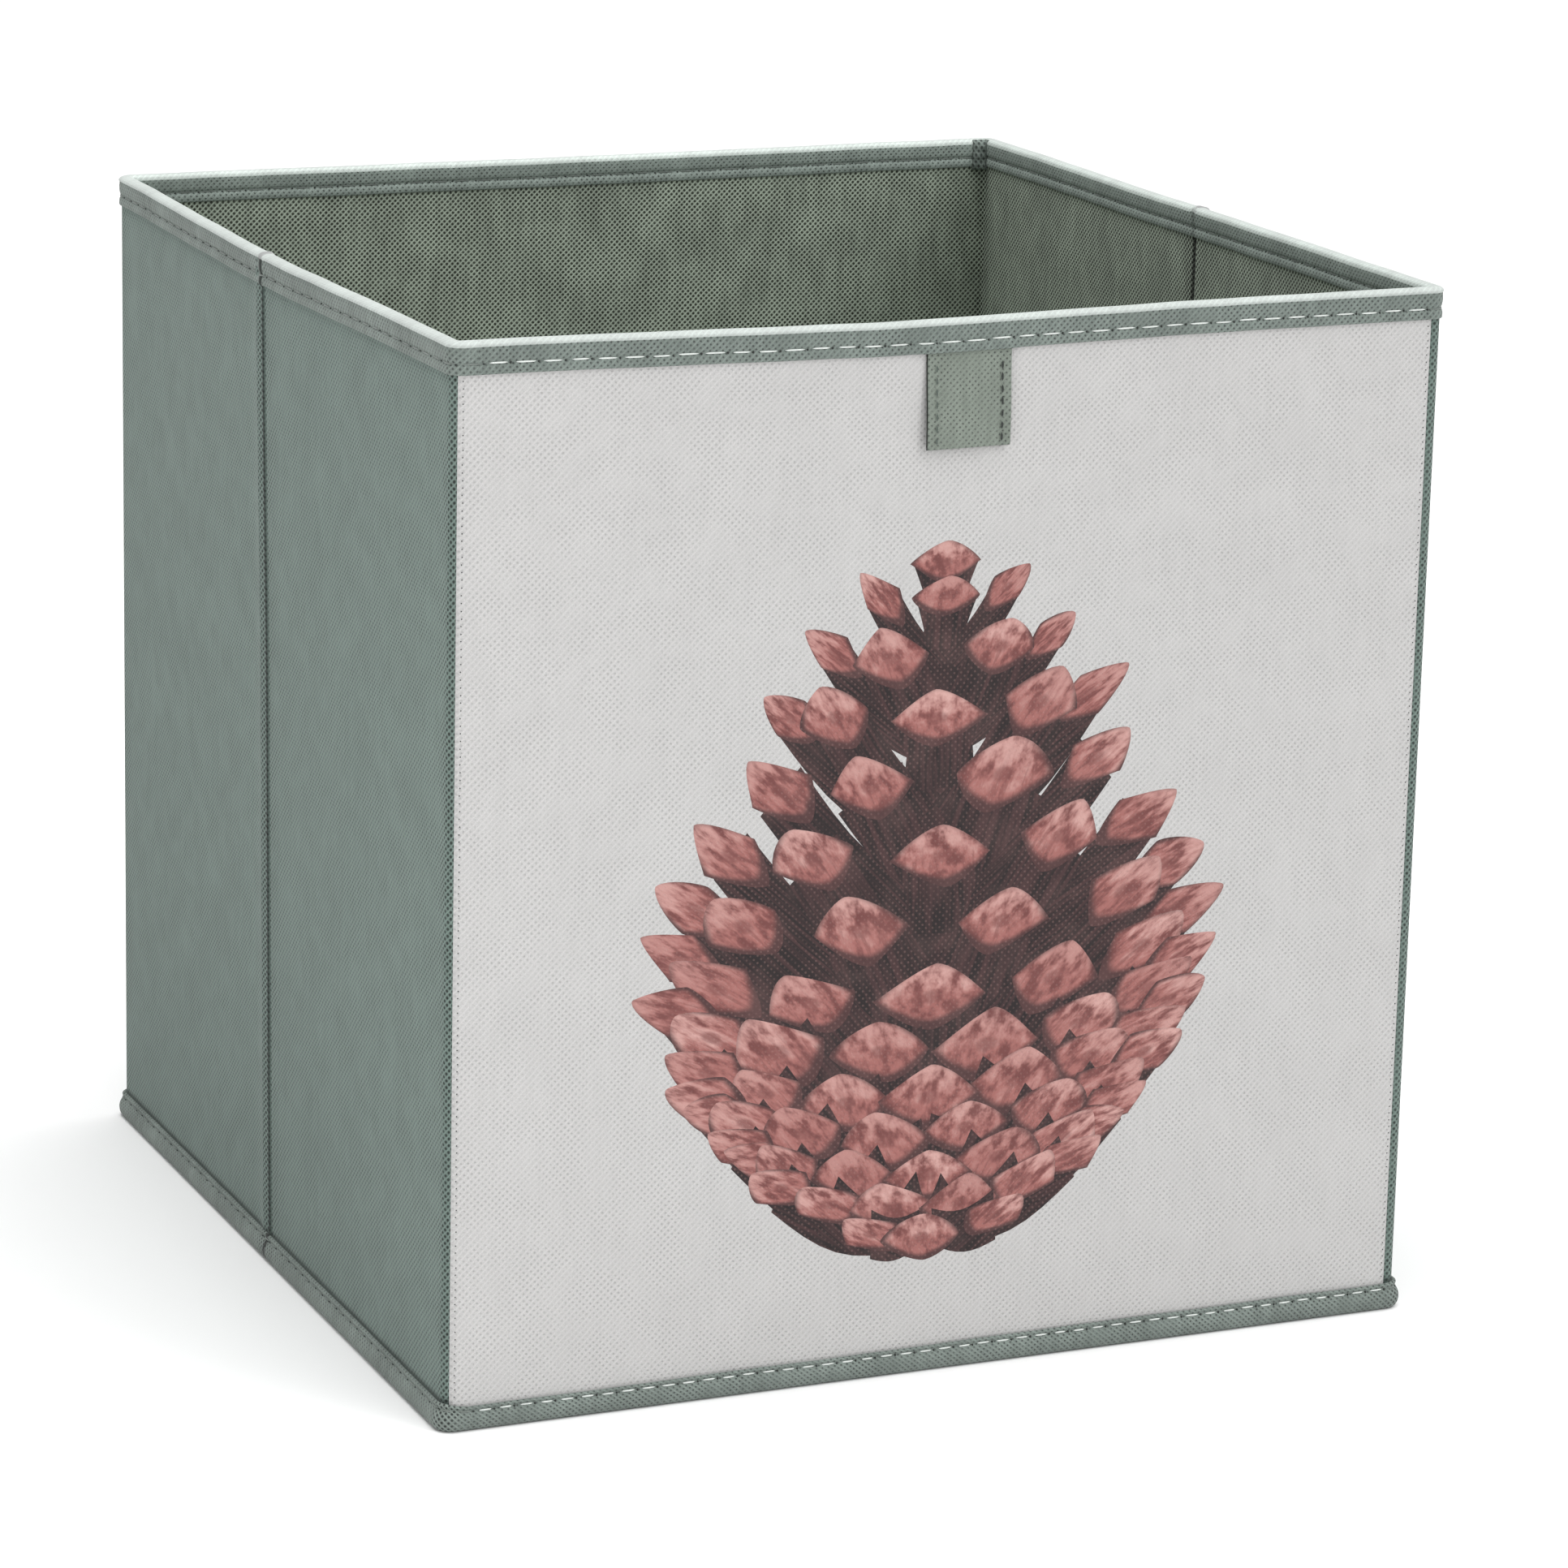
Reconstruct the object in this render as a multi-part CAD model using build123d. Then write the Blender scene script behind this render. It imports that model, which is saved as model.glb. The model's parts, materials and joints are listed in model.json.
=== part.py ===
from build123d import *
import os

# Folding fabric storage bin, in millimetres: a square open box of nonwoven fabric over board.
# Origin: centre of the footprint, on the surface that the bin stands on.
# +X is the bin's right, +Y its back and +Z up. The printed front faces -Y.
#
# The wall is six stiff panels: the front, the rear and two halves for each side. The side halves
# meet at an upright crease and fold inward there, so that the front and the rear come together.
# Every panel is an outer fabric, a board and a lining, with a rim binding over its top edge and a
# base binding round its bottom edge.

# ---- Driving dimensions ----
FOOTPRINT = 320.0            # width and depth over the base binding
HEIGHT = 322.0               # to the crown of the rim binding
BASE_PROUD = 2.5             # how far the rolled base binding stands out from the wall
FABRIC = 0.5                 # one layer of nonwoven
BOARD = 2.0                  # stiffener board
RIM_BINDING_HEIGHT = 10.0
RIM_CROWN = 1.4              # binding above the wall's top edge
CROWN_RADIUS = 1.7
BASE_BINDING_HEIGHT = 9.0
BASE_BINDING_SOLE = 1.0      # binding under the wall's bottom edge
BASE_INNER_PLY = 0.6
BASE_ROLL_RADIUS = 1.1
BOARD_FROM_FLOOR = 9.5
BOARD_BELOW_RIM = 3.0
BOARD_INSET = 3.0            # from a panel's end, which leaves the fabric free to bend
CORNER_RADIUS = 3.5          # outer fabric where it turns an upright corner
CORNER_INSET = 2.0           # from the outer fabric's turn to the end of the lining inside it
BASE_CORNER_RADIUS = 6.0
PIVOT_CLEARANCE = 0.5        # from a pivot line to the nearest face of the panels it joins
CREASE_GAP = 0.5             # between the two halves of a side
TAB_WIDTH = 27.0
TAB_LENGTH = 30.0
TAB_THICKNESS = 1.2          # a folded strip, so two layers
TAB_EDGE_RADIUS = 0.4
TAB_STANDOFF = 0.4           # from the front fabric
TAB_DROP = 0.6               # from the rim binding's lower edge to the top of the loose tab
FLOOR_TOP = 8.6
FLOOR_THICKNESS = 0.6
FLOOR_CLEARANCE = 0.3        # to the walls that move
FLOOR_CORNER_RADIUS = 5.0

# ---- Worked out from them ----
WALL_OUTER = FOOTPRINT / 2 - BASE_PROUD                  # outer fabric's outer face
WALL_INNER = WALL_OUTER - 2 * FABRIC - BOARD             # lining's inner face
WALL_TOP = HEIGHT - RIM_CROWN
RIM_OUTER = WALL_OUTER + FABRIC
RIM_INNER = WALL_INNER - FABRIC
CORNER_CENTRE = WALL_OUTER - CORNER_RADIUS               # where the flat fabric gives way to the turn
CORNER_PIVOT = RIM_INNER - PIVOT_CLEARANCE               # a side panel ends at this pivot line
CREASE_PIVOT = FOOTPRINT / 2 + PIVOT_CLEARANCE
BASE_INNER_FACE = WALL_OUTER - FABRIC - BASE_INNER_PLY
TAB_TOP = HEIGHT - RIM_BINDING_HEIGHT - TAB_DROP
TAB_BACK = WALL_OUTER + TAB_STANDOFF

# Each wall is drawn as the front one and turned about Z to its side of the bin.
FRONT_TURN, RIGHT_TURN, REAR_TURN, LEFT_TURN = 0, 90, 180, -90


def slab(start, end, outer, inner, low, high):
    """A flat layer of the front wall: from start to end along X, between two distances from the
    middle of the bin, and between two heights."""
    layer = Box(end - start, outer - inner, high - low)
    return Pos((start + end) / 2, -(outer + inner) / 2, (low + high) / 2) * layer


def section(outer, inner, low, high):
    """A rectangle across the front wall, in the YZ plane."""
    rectangle = Rectangle(outer - inner, high - low)
    return Pos(-(outer + inner) / 2, (low + high) / 2) * rectangle


def run_along_wall(profile, start, end, half_width, corner_radius):
    """Runs a wall section along X and rounds it where it reaches the bin's upright corners."""
    strip = extrude(Plane.YZ.offset(start) * profile, amount=end - start)
    footprint = RectangleRounded(2 * half_width, 2 * half_width, corner_radius)
    return strip & extrude(footprint, amount=HEIGHT)


def board(start, end):
    outer = WALL_OUTER - FABRIC
    inner = outer - BOARD
    top = HEIGHT - BOARD_BELOW_RIM
    return slab(start + BOARD_INSET, end - BOARD_INSET, outer, inner, BOARD_FROM_FLOOR, top)


def rim_binding(start, end):
    """A folded tape over the wall's top edge, with a soft crown."""
    low = HEIGHT - RIM_BINDING_HEIGHT
    tape = section(RIM_OUTER, RIM_INNER, low, HEIGHT)
    tape = fillet(tape.vertices().group_by(Axis.Y)[-1], CROWN_RADIUS)
    profile = tape - section(WALL_OUTER, WALL_INNER, low, WALL_TOP)
    return run_along_wall(profile, start, end, RIM_OUTER, CORNER_RADIUS + FABRIC)


def base_binding(start, end):
    """A rolled tape round the seam at the foot of the wall: thick outside, one ply inside."""
    outer_face = FOOTPRINT / 2
    tape = section(outer_face, BASE_INNER_FACE, 0, BASE_BINDING_HEIGHT)
    tape = fillet(tape.vertices().group_by(Axis.X)[0], BASE_ROLL_RADIUS)
    seam = section(WALL_OUTER, WALL_OUTER - FABRIC, BASE_BINDING_SOLE, BASE_BINDING_HEIGHT)
    return run_along_wall(tape - seam, start, end, outer_face, BASE_CORNER_RADIUS)


def panel_pieces(panel, cover, span, wall_span, binding_span, turn):
    """The five pieces of one wall panel. span is the outer fabric's, wall_span the board's and
    lining's, and binding_span the bindings', each from start to end along the wall."""
    outer_fabric = slab(*span, WALL_OUTER, WALL_OUTER - FABRIC, BASE_BINDING_SOLE, WALL_TOP)
    lining = slab(*wall_span, WALL_INNER + FABRIC, WALL_INNER, BOARD_FROM_FLOOR, WALL_TOP)
    pieces = {
        cover: outer_fabric,
        "board": board(*wall_span),
        "lining": lining,
        "rim_binding": rim_binding(*binding_span),
        "base_binding": base_binding(*binding_span),
    }
    return {f"{panel}_{name}": Rot(0, 0, turn) * piece for name, piece in pieces.items()}


def full_wall(panel, cover, turn):
    """The front or the rear wall, which runs the whole width and holds both its corners."""
    fabric_span = (-CORNER_CENTRE, CORNER_CENTRE)
    wall_span = (-WALL_OUTER + CORNER_INSET, WALL_OUTER - CORNER_INSET)
    binding_span = (-FOOTPRINT / 2, FOOTPRINT / 2)
    return panel_pieces(panel, cover, fabric_span, wall_span, binding_span, turn)


def half_wall(panel, direction, turn):
    """Half of a side, from its crease to its corner pivot. direction is +1 or -1 along the wall."""
    span = sorted((direction * CREASE_GAP / 2, direction * CORNER_PIVOT))
    return panel_pieces(panel, "outer_fabric", span, span, span, turn)


def corner_strip(turn):
    """The side's outer fabric where it turns the bin's front left corner, turned about Z."""
    outside = RectangleRounded(2 * WALL_OUTER, 2 * WALL_OUTER, CORNER_RADIUS)
    inner_width = 2 * (WALL_OUTER - FABRIC)
    inside = RectangleRounded(inner_width, inner_width, CORNER_RADIUS - FABRIC)
    window = Pos(-WALL_OUTER, -WALL_OUTER) * Rectangle(2 * CORNER_RADIUS, 2 * CORNER_RADIUS)
    turned_edge = (outside - inside) & window
    height = WALL_TOP - BASE_BINDING_SOLE
    return Rot(0, 0, turn) * Pos(0, 0, BASE_BINDING_SOLE) * extrude(turned_edge, amount=height)


def floor_sheet():
    """The fabric floor, sewn into the front's base binding and clear of the walls that move."""
    moving_edge = BASE_INNER_FACE - FLOOR_CLEARANCE
    depth = BASE_INNER_FACE + moving_edge
    outline = Pos(0, -FLOOR_CLEARANCE / 2) * RectangleRounded(2 * moving_edge, depth, FLOOR_CORNER_RADIUS)
    return Pos(0, 0, FLOOR_TOP - FLOOR_THICKNESS) * extrude(outline, amount=FLOOR_THICKNESS)


def pull_tab():
    """A folded strip that hangs from under the front rim binding. Its lower edge is the fold."""
    tab = slab(-TAB_WIDTH / 2, TAB_WIDTH / 2, TAB_BACK + TAB_THICKNESS, TAB_BACK, TAB_TOP - TAB_LENGTH, TAB_TOP)
    lower_fold = tab.edges().filter_by(Axis.X).group_by(Axis.Z)[0]
    return fillet(lower_fold, TAB_EDGE_RADIUS)


def turn_corners(pieces, wall, left_turn, right_turn):
    """Adds a full wall's two corner strips, and opens its bindings where they wrap them."""
    strips = {"left": corner_strip(left_turn), "right": corner_strip(right_turn)}
    for side, strip in strips.items():
        pieces[f"{wall}_{side}_corner_strip"] = strip
        for binding in ("rim_binding", "base_binding"):
            pieces[f"{wall}_{binding}"] -= strip


def all_pieces():
    pieces = {}
    pieces.update(full_wall("front", "printed_fabric", FRONT_TURN))
    pieces.update(full_wall("rear", "outer_fabric", REAR_TURN))
    pieces.update(half_wall("left_front", +1, LEFT_TURN))
    pieces.update(half_wall("left_rear", -1, LEFT_TURN))
    pieces.update(half_wall("right_front", -1, RIGHT_TURN))
    pieces.update(half_wall("right_rear", +1, RIGHT_TURN))
    turn_corners(pieces, "front", left_turn=0, right_turn=90)
    turn_corners(pieces, "rear", left_turn=270, right_turn=180)
    pieces["floor_sheet"] = floor_sheet()
    pieces["pull_tab"] = pull_tab()
    return pieces


os.makedirs("parts", exist_ok=True)
for node, piece in all_pieces().items():
    export_step(piece, f"parts/{node}.step")

print(f"corner pivots at x, y = +-{CORNER_PIVOT}; crease pivots at x = +-{CREASE_PIVOT}, y = 0")
print(f"tab: top {TAB_TOP}, outer face {TAB_BACK + TAB_THICKNESS}")
print(f"inside of the walls at the rim: {RIM_INNER}")
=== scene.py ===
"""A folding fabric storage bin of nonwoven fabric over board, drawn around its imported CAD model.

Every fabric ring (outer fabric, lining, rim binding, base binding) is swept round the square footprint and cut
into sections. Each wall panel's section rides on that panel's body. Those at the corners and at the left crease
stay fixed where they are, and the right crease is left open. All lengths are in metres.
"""

import json
import math
import random

import bpy
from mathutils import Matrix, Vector, geometry, noise


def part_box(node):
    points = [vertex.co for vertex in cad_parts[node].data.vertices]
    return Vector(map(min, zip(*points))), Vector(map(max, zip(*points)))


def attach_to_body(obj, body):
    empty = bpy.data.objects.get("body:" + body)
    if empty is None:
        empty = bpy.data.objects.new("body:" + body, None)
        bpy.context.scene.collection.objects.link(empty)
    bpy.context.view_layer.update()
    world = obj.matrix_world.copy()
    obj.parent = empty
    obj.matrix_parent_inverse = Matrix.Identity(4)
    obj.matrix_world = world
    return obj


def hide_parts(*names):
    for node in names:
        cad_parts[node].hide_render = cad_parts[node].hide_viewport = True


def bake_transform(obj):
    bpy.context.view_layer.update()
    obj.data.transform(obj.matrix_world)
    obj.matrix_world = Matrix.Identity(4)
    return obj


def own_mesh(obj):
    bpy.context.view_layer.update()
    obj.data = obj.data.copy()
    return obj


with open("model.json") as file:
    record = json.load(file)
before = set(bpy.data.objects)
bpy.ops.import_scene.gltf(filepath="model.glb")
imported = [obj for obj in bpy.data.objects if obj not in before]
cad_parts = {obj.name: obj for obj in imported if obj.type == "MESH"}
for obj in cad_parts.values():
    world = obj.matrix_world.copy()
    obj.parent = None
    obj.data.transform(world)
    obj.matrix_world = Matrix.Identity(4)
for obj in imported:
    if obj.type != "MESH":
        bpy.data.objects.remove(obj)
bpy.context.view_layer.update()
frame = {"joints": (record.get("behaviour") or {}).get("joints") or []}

MM = 0.001

# Places read from the CAD model.
OUTER_FACE = -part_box("front_printed_fabric")[0].y
INNER_FACE = -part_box("front_lining")[1].y
SEAM_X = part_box("front_printed_fabric")[1].x
RIM_FACE = -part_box("front_rim_binding")[0].y
RIM_BOTTOM, RIM_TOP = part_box("front_rim_binding")[0].z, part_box("front_rim_binding")[1].z
BASE_FACE = -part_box("front_base_binding")[0].y
BASE_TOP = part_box("front_base_binding")[1].z
FABRIC_BOTTOM, FABRIC_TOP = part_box("front_printed_fabric")[0].z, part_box("front_printed_fabric")[1].z
LINING_BOTTOM, LINING_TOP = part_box("front_lining")[0].z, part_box("front_lining")[1].z
BOARD_BOTTOM, BOARD_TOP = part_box("front_board")[0].z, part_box("front_board")[1].z
BOARD_FACE = -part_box("front_board")[0].y
FLOOR_LOW, FLOOR_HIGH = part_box("floor_sheet")
TAB_LOW, TAB_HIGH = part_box("pull_tab")
JOINTS = {joint["name"]: joint for joint in frame["joints"]}
CORNER_PIVOT = abs(JOINTS["side_fold"]["pos_m"][0])

# The fabrics.
PLY = 0.5 * MM
CORNER_START = 150 * MM   # along a wall, from its middle: where its corner section begins
CREASE_HALF = 5 * MM
OUTER_BEND = 3.6 * MM      # how far out of the corner pivots the outer fabric's bend would begin and end; no bend is made
CORNER_STEPS = 10
WALL_STEP = 4 * MM
RIM_STITCH, RIM_STITCH_PITCH = 6.0 * MM, 8.1 * MM
BASE_STITCH, BASE_STITCH_PITCH = 4.2 * MM, 6.4 * MM
HOLE_PITCH = 2.2 * MM
BELOW_RIM = RIM_TOP - 10.4 * MM   # the height of the painted shadow line under the rim binding's edges
PALE, COLOURED, HOLE = 0, 1, 2    # the places of the materials of a row of stitches, in their order
RIM_TAPE, BASE_TAPE = 24 * MM, 22 * MM
RIM_DEPTH, BASE_DEPTH = 2.5 * MM, 5.0 * MM     # how far out of the corner pivots the bindings would bend; no bend is made
CREASE_CUTS = [gap * MM for gap in (0.25, 0.5, 0.75, 1.0, 1.4, 1.9, 2.6, 3.6)]

# The printed front reaches a little round the left corner, and a little less far to the right one.
PRINT_LEFT, PRINT_RIGHT = -SEAM_X - 1.5 * MM, SEAM_X - 0.5 * MM

# How far the soft walls stand away from their boards at most: at the rim, and half way up.
BOW = {"front": (2.0 * MM, 0.8 * MM), "left": (2.3 * MM, 0.6 * MM), "right": (1.2 * MM, 0.5 * MM),
       "rear": (1.2 * MM, 0.6 * MM)}


# ---------------------------------------------------------------- small helpers

def smooth(value):
    """0 to 1 with soft ends."""
    value = max(0.0, min(1.0, value))
    return value * value * (3 - 2 * value)


def hump(value):
    """1 in the middle of -1..1, and 0 at and beyond its ends."""
    return math.cos(max(-1.0, min(1.0, value)) * math.pi / 2) ** 2


def bell(away, width):
    """1 where away is 0, falling off over width."""
    return math.exp(-(away / width) ** 2)


def through(points, per_span):
    """A smooth line through the points, as a Catmull-Rom spline."""
    line = []
    padded = [points[0], *points, points[-1]]
    for i in range(len(points) - 1):
        p0, p1, p2, p3 = (Vector(p) for p in padded[i:i + 4])
        for k in range(per_span):
            t = k / per_span
            line.append(tuple(0.5 * (2 * p1 + (p2 - p0) * t + (2 * p0 - 5 * p1 + 4 * p2 - p3) * t * t
                                     + (3 * p1 - p0 - 3 * p2 + p3) * t ** 3)))
    line.append(tuple(points[-1]))
    return line


def settle(point):
    """Moves a point of a flat wall to where the soft one stands: bowed out, with waves and a sagging rim."""
    x, y, z = point
    up = max(0.0, z / RIM_TOP)
    walls = (("front", x, y, -1), ("rear", x, y, 1), ("left", y, x, -1), ("right", y, x, 1))
    for wall, along, away, sign in walls:
        if away * sign < CORNER_START or abs(along) > CORNER_START:
            continue
        at_rim, half_way = BOW[wall]
        centre = -25 * MM if wall == "front" else 0.0
        spread = hump((along - centre) / (CORNER_START - abs(centre)))
        bulge = at_rim * smooth((up - 0.45) / 0.55) + half_way * hump((up - 0.5) / 0.5)
        edge = smooth((CORNER_START - abs(along)) / (20 * MM))
        wave = noise.noise((along * 22, z * 16, sign * 3.1 + len(wall))) * 0.5 + 0.5
        out = sign * (bulge * spread + 0.35 * MM * wave * edge * smooth(up * 8))
        sag = (1.0 * MM if wall == "front" else 0.5 * MM) * spread
        ripple = 0.22 * MM * noise.noise((along * 45, sign * 7.7 + len(wall), 0.4)) * edge
        z += (ripple - sag) * smooth((up - 0.85) / 0.12)
        if wall in ("front", "rear"):
            y += out
        else:
            x += out
    return x, y, z


# ---------------------------------------------------------------- meshes

def put(name, data):
    """A new object in the scene that holds the data."""
    made = bpy.data.objects.new(name, data)
    bpy.context.scene.collection.objects.link(made)
    return made


class Shape:
    """Vertices and faces gathered for one mesh, with the place of each vertex on the flat cloth."""

    def __init__(self):
        self.points, self.cloth, self.marks, self.faces, self.kinds = [], [], [], [], []

    def add(self, points, faces, cloth=None, kind=0, marks=None):
        start = len(self.points)
        self.points += points
        self.cloth += cloth or [(0, 0, 0)] * len(points)
        self.marks += marks or [(0, 0, 0)] * len(points)
        self.faces += [tuple(start + i for i in face) for face in faces]
        self.kinds += [kind] * len(faces)

    def object(self, name, materials, slot):
        """The mesh object, smooth but for its sharp edges. slot is not used."""
        mesh = bpy.data.meshes.new(name)
        mesh.from_pydata(self.points, [], self.faces)
        for word, values in (("cloth", self.cloth), ("marks", self.marks)):
            attribute = mesh.attributes.new(word, "FLOAT_VECTOR", "POINT")
            attribute.data.foreach_set("vector", [number for value in values for number in value])
        for material in materials:
            mesh.materials.append(material)
        mesh.polygons.foreach_set("material_index", self.kinds)
        mesh.validate()
        mesh.shade_smooth()
        mesh.set_sharp_from_angle(angle=math.radians(50))
        made = put(name, mesh)
        return made


def grid_faces(rows, columns, closed=False):
    """Quads between rows of columns points each; closed joins the last point of a row to its first."""
    faces = []
    for r in range(rows - 1):
        for c in range(columns if closed else columns - 1):
            d = (c + 1) % columns
            faces.append((r * columns + c, r * columns + d, (r + 1) * columns + d, (r + 1) * columns + c))
    return faces


def tube_faces(rows, columns):
    """The faces of a tube of rows of points, with a face over each end."""
    last = (rows - 1) * columns
    ends = [tuple(reversed(range(columns))), tuple(range(last, last + columns))]
    return grid_faces(rows, columns, closed=True) + ends


def sheet_faces(front, border, count):
    """The faces of a thin sheet: its front, its back, whose points come count later, and the wall between."""
    back = [tuple(count + i for i in reversed(face)) for face in front]
    return front + back + [(b, a, count + a, count + b) for a, b in border]


def grid_border(wide, high):
    """The points round the edge of a grid, in order."""
    right = [row * wide + wide - 1 for row in range(1, high)]
    top = [(high - 1) * wide + column for column in range(wide - 2, -1, -1)]
    return [*range(wide), *right, *top, *(row * wide for row in range(high - 2, 0, -1))]


def lengths_along(line):
    """How far each point of a line is along it."""
    lengths = [0.0]
    for a, b in zip(line, line[1:]):
        lengths.append(lengths[-1] + (Vector(b) - Vector(a)).length)
    return lengths


class Ring:
    """A rounded square round the bin, whose straights lie at face from the centre. s is the length along it."""

    def __init__(self, face, radius):
        self.face, self.radius = face, radius
        self.straight, self.arc = 2 * (face - radius), math.pi / 2 * radius
        self.side = self.straight + self.arc
        self.length = 4 * self.side

    def s(self, wall, along):
        """s at a place on wall 0 front, 1 right, 2 rear or 3 left, measured from its middle the way s grows."""
        return wall * self.side + along + self.straight / 2

    def at(self, s, out, z):
        """The point at s, moved outward by out, at height z, and the direction outward there."""
        wall, rest = divmod(s % self.length, self.side)
        turn = wall * math.pi / 2
        if rest <= self.straight:
            x, y, angle = rest - self.straight / 2, -self.face - out, -math.pi / 2
        else:
            angle = -math.pi / 2 + (rest - self.straight) / self.radius
            reach = self.radius + out
            middle = self.straight / 2
            x, y = middle + reach * math.cos(angle), -middle + reach * math.sin(angle)
        c, n = math.cos(turn), math.sin(turn)
        return (c * x - n * y, n * x + c * y, z), Vector((math.cos(angle + turn), math.sin(angle + turn), 0))

    def stations(self, start, end):
        """s from start to end in steps, small ones in the corner arcs."""
        cuts = {start, end}
        for wall in range(-1, 6):
            for cut in (wall * self.side, wall * self.side + self.straight):
                if start < cut < end:
                    cuts.add(cut)
            for gap in CREASE_CUTS if wall in (1, 3) else ():
                for cut in (self.s(wall, -gap), self.s(wall, gap)):
                    if start < cut < end:
                        cuts.add(cut)
        cuts = sorted(cuts)
        line = []
        for a, b in zip(cuts, cuts[1:]):
            in_arc = ((a + b) / 2) % self.side > self.straight
            steps = CORNER_STEPS if in_arc else max(1, math.ceil((b - a) / WALL_STEP))
            line += [a + (b - a) * k / steps for k in range(steps)]
        return line + [end]


# Each section: its name, its body or bodies, and where it starts and ends as (wall, place along the wall).
C, K = CORNER_START, CREASE_HALF
SECTIONS = [
    ("front", ["front"], (0, -C), (0, C)),
    ("front_right_corner", ["front", "right_front"], (0, C), (1, -C)),
    ("right_front", ["right_front"], (1, -C), (1, -0.05 * MM)),
    ("right_rear", ["right_rear"], (1, 0.05 * MM), (1, C)),
    ("rear_right_corner", ["right_rear", "rear"], (1, C), (2, -C)),
    ("rear", ["rear"], (2, -C), (2, C)),
    ("rear_left_corner", ["rear", "left_rear"], (2, C), (3, -C)),
    ("left_rear", ["left_rear"], (3, -C), (3, -K)),
    ("left_crease", ["left_rear", "left_front"], (3, -K), (3, K)),
    ("left_front", ["left_front"], (3, K), (3, C)),
    ("front_left_corner", ["left_front", "front"], (3, C), (4, -C)),
]
CORNERS = {"front_right_corner": (1, -1), "rear_right_corner": (1, 1), "rear_left_corner": (-1, 1),
           "front_left_corner": (-1, -1)}


def attach(piece, section, depth):
    """Rides the piece on its body, or leaves one between two bodies fixed where it is. depth, how far out of
    the pivots it lies, goes only into points that are not used.
    """
    name, bodies = section[0], section[1]
    if len(bodies) == 1:
        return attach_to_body(piece, bodies[0])
    if name == "left_crease":
        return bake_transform(piece)
    x, y = CORNERS[name]
    pivot = Vector((x * CORNER_PIVOT, y * CORNER_PIVOT, 0))
    beside_x = pivot + Vector((x * depth, 0, 0))
    beside_y = pivot + Vector((0, y * depth, 0))
    first = beside_y if bodies[0] in ("front", "rear") else beside_x
    last = beside_x if first is beside_y else beside_y
    if name == "front_left_corner" and depth == OUTER_BEND:
        last = first.lerp(last, 0.70)
    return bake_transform(piece)


def cloth_loop(path, thickness, inward):
    """A closed section for a strip of cloth whose outer side follows path, a list of (out, z)."""
    back = []
    for i, (out, z) in enumerate(path):
        before, after = Vector(path[max(0, i - 1)]), Vector(path[min(len(path) - 1, i + 1)])
        along = (after - before).normalized()
        side = Vector((-along.y, along.x)) * (thickness * inward)
        back.append((out + side.x, z + side.y))
    return path + back[::-1]


def marks_at(x, y, z, gaps=()):
    """How strained the cloth is there, its painted shade in folds and along shadow lines, and how near the
    rim's crown with its painted highlight, each from 0 to 1.

    The last argument holds the heights of the painted shadow lines beside a binding's edge.
    """
    beside_corner = OUTER_FACE - min(abs(x), abs(y))
    strain = bell(beside_corner, 5.0 * MM)
    fold = 0.0
    if abs(x) > CORNER_START:
        behind = bell(y - 3.0 * MM, 4.0 * MM)
        before = 0.5 * bell(y + 4 * MM, 5 * MM)
        strain = max(strain, behind, before)
        # Painted shade in the side creases.
        fold = bell(y - 0.3 * MM, 1.25 * MM)
    # Painted shadow lines beside the bindings' edges.
    for height in gaps:
        fold = max(fold, 0.75 * bell(z - height, 0.75 * MM))
    crown = smooth((z - RIM_TOP + 2.35 * MM) / (0.5 * MM))
    return strain, fold, crown


def swept(ring, start, end, loop, dent=0.0, extra=None, gaps=(), tight=1.0, bright_inside=0.0):
    """A closed strip of cloth along the ring, with the section loop.

    dent draws it in or out at the side creases, and a negative one also bulges it behind them. extra moves each
    point. tight scales its strain, and the last argument paints light on its inner side, as a negative fold
    mark.
    """
    shape = Shape()
    lengths = lengths_along(loop)
    points, cloth, marks = [], [], []
    stations = ring.stations(start, end)
    for s in stations:
        for (out, z), v in zip(loop, lengths):
            (x, y, height), normal = ring.at(s, out, z)
            if abs(normal.x) > 0.99 and dent:
                away = dent * bell(y, 0.7 * MM)
                if dent < 0:
                    away += 0.9 * MM * bell(y - 5 * MM, 3.2 * MM)
                x += math.copysign(away, x)
            strain, fold, crown = marks_at(x, y, z, gaps)
            # Painted light on the inner side, carried as a negative fold mark.
            fold -= bright_inside * smooth((-out - 2.6 * MM) / (1.0 * MM))
            marks.append((strain * tight, fold, crown))
            if extra:
                x, y, height = extra(x, y, height)
            points.append(settle((x, y, height)))
            cloth.append((s, v, 0.0))
    shape.add(points, tube_faces(len(stations), len(loop)), cloth, marks=marks)
    return shape


def walls_only(word):
    """Stands for the CAD nodes of a ring that has none at its corners and its left crease."""
    return lambda name: [] if name in CORNERS or name == "left_crease" else [f"{name}_{word}"]


def swept_ring(word, ring, loop, material, slot, depth, width, stands_for, skip=(), ends=None, **more):
    """All sections of one fabric ring, each attached and standing for its CAD nodes."""
    for section in SECTIONS:
        name, bodies, first, last = section
        if name in skip:
            continue
        first, last = (ends or {}).get(name, (first, last))
        start, end = ring.s(*first), ring.s(*last)
        piece = swept(ring, start, end, loop, **more).object(f"{name}_{word}", [material], slot)
        attach(piece, section, depth)
        nodes = stands_for(name)
        if nodes:
            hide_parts(*nodes)


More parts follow.
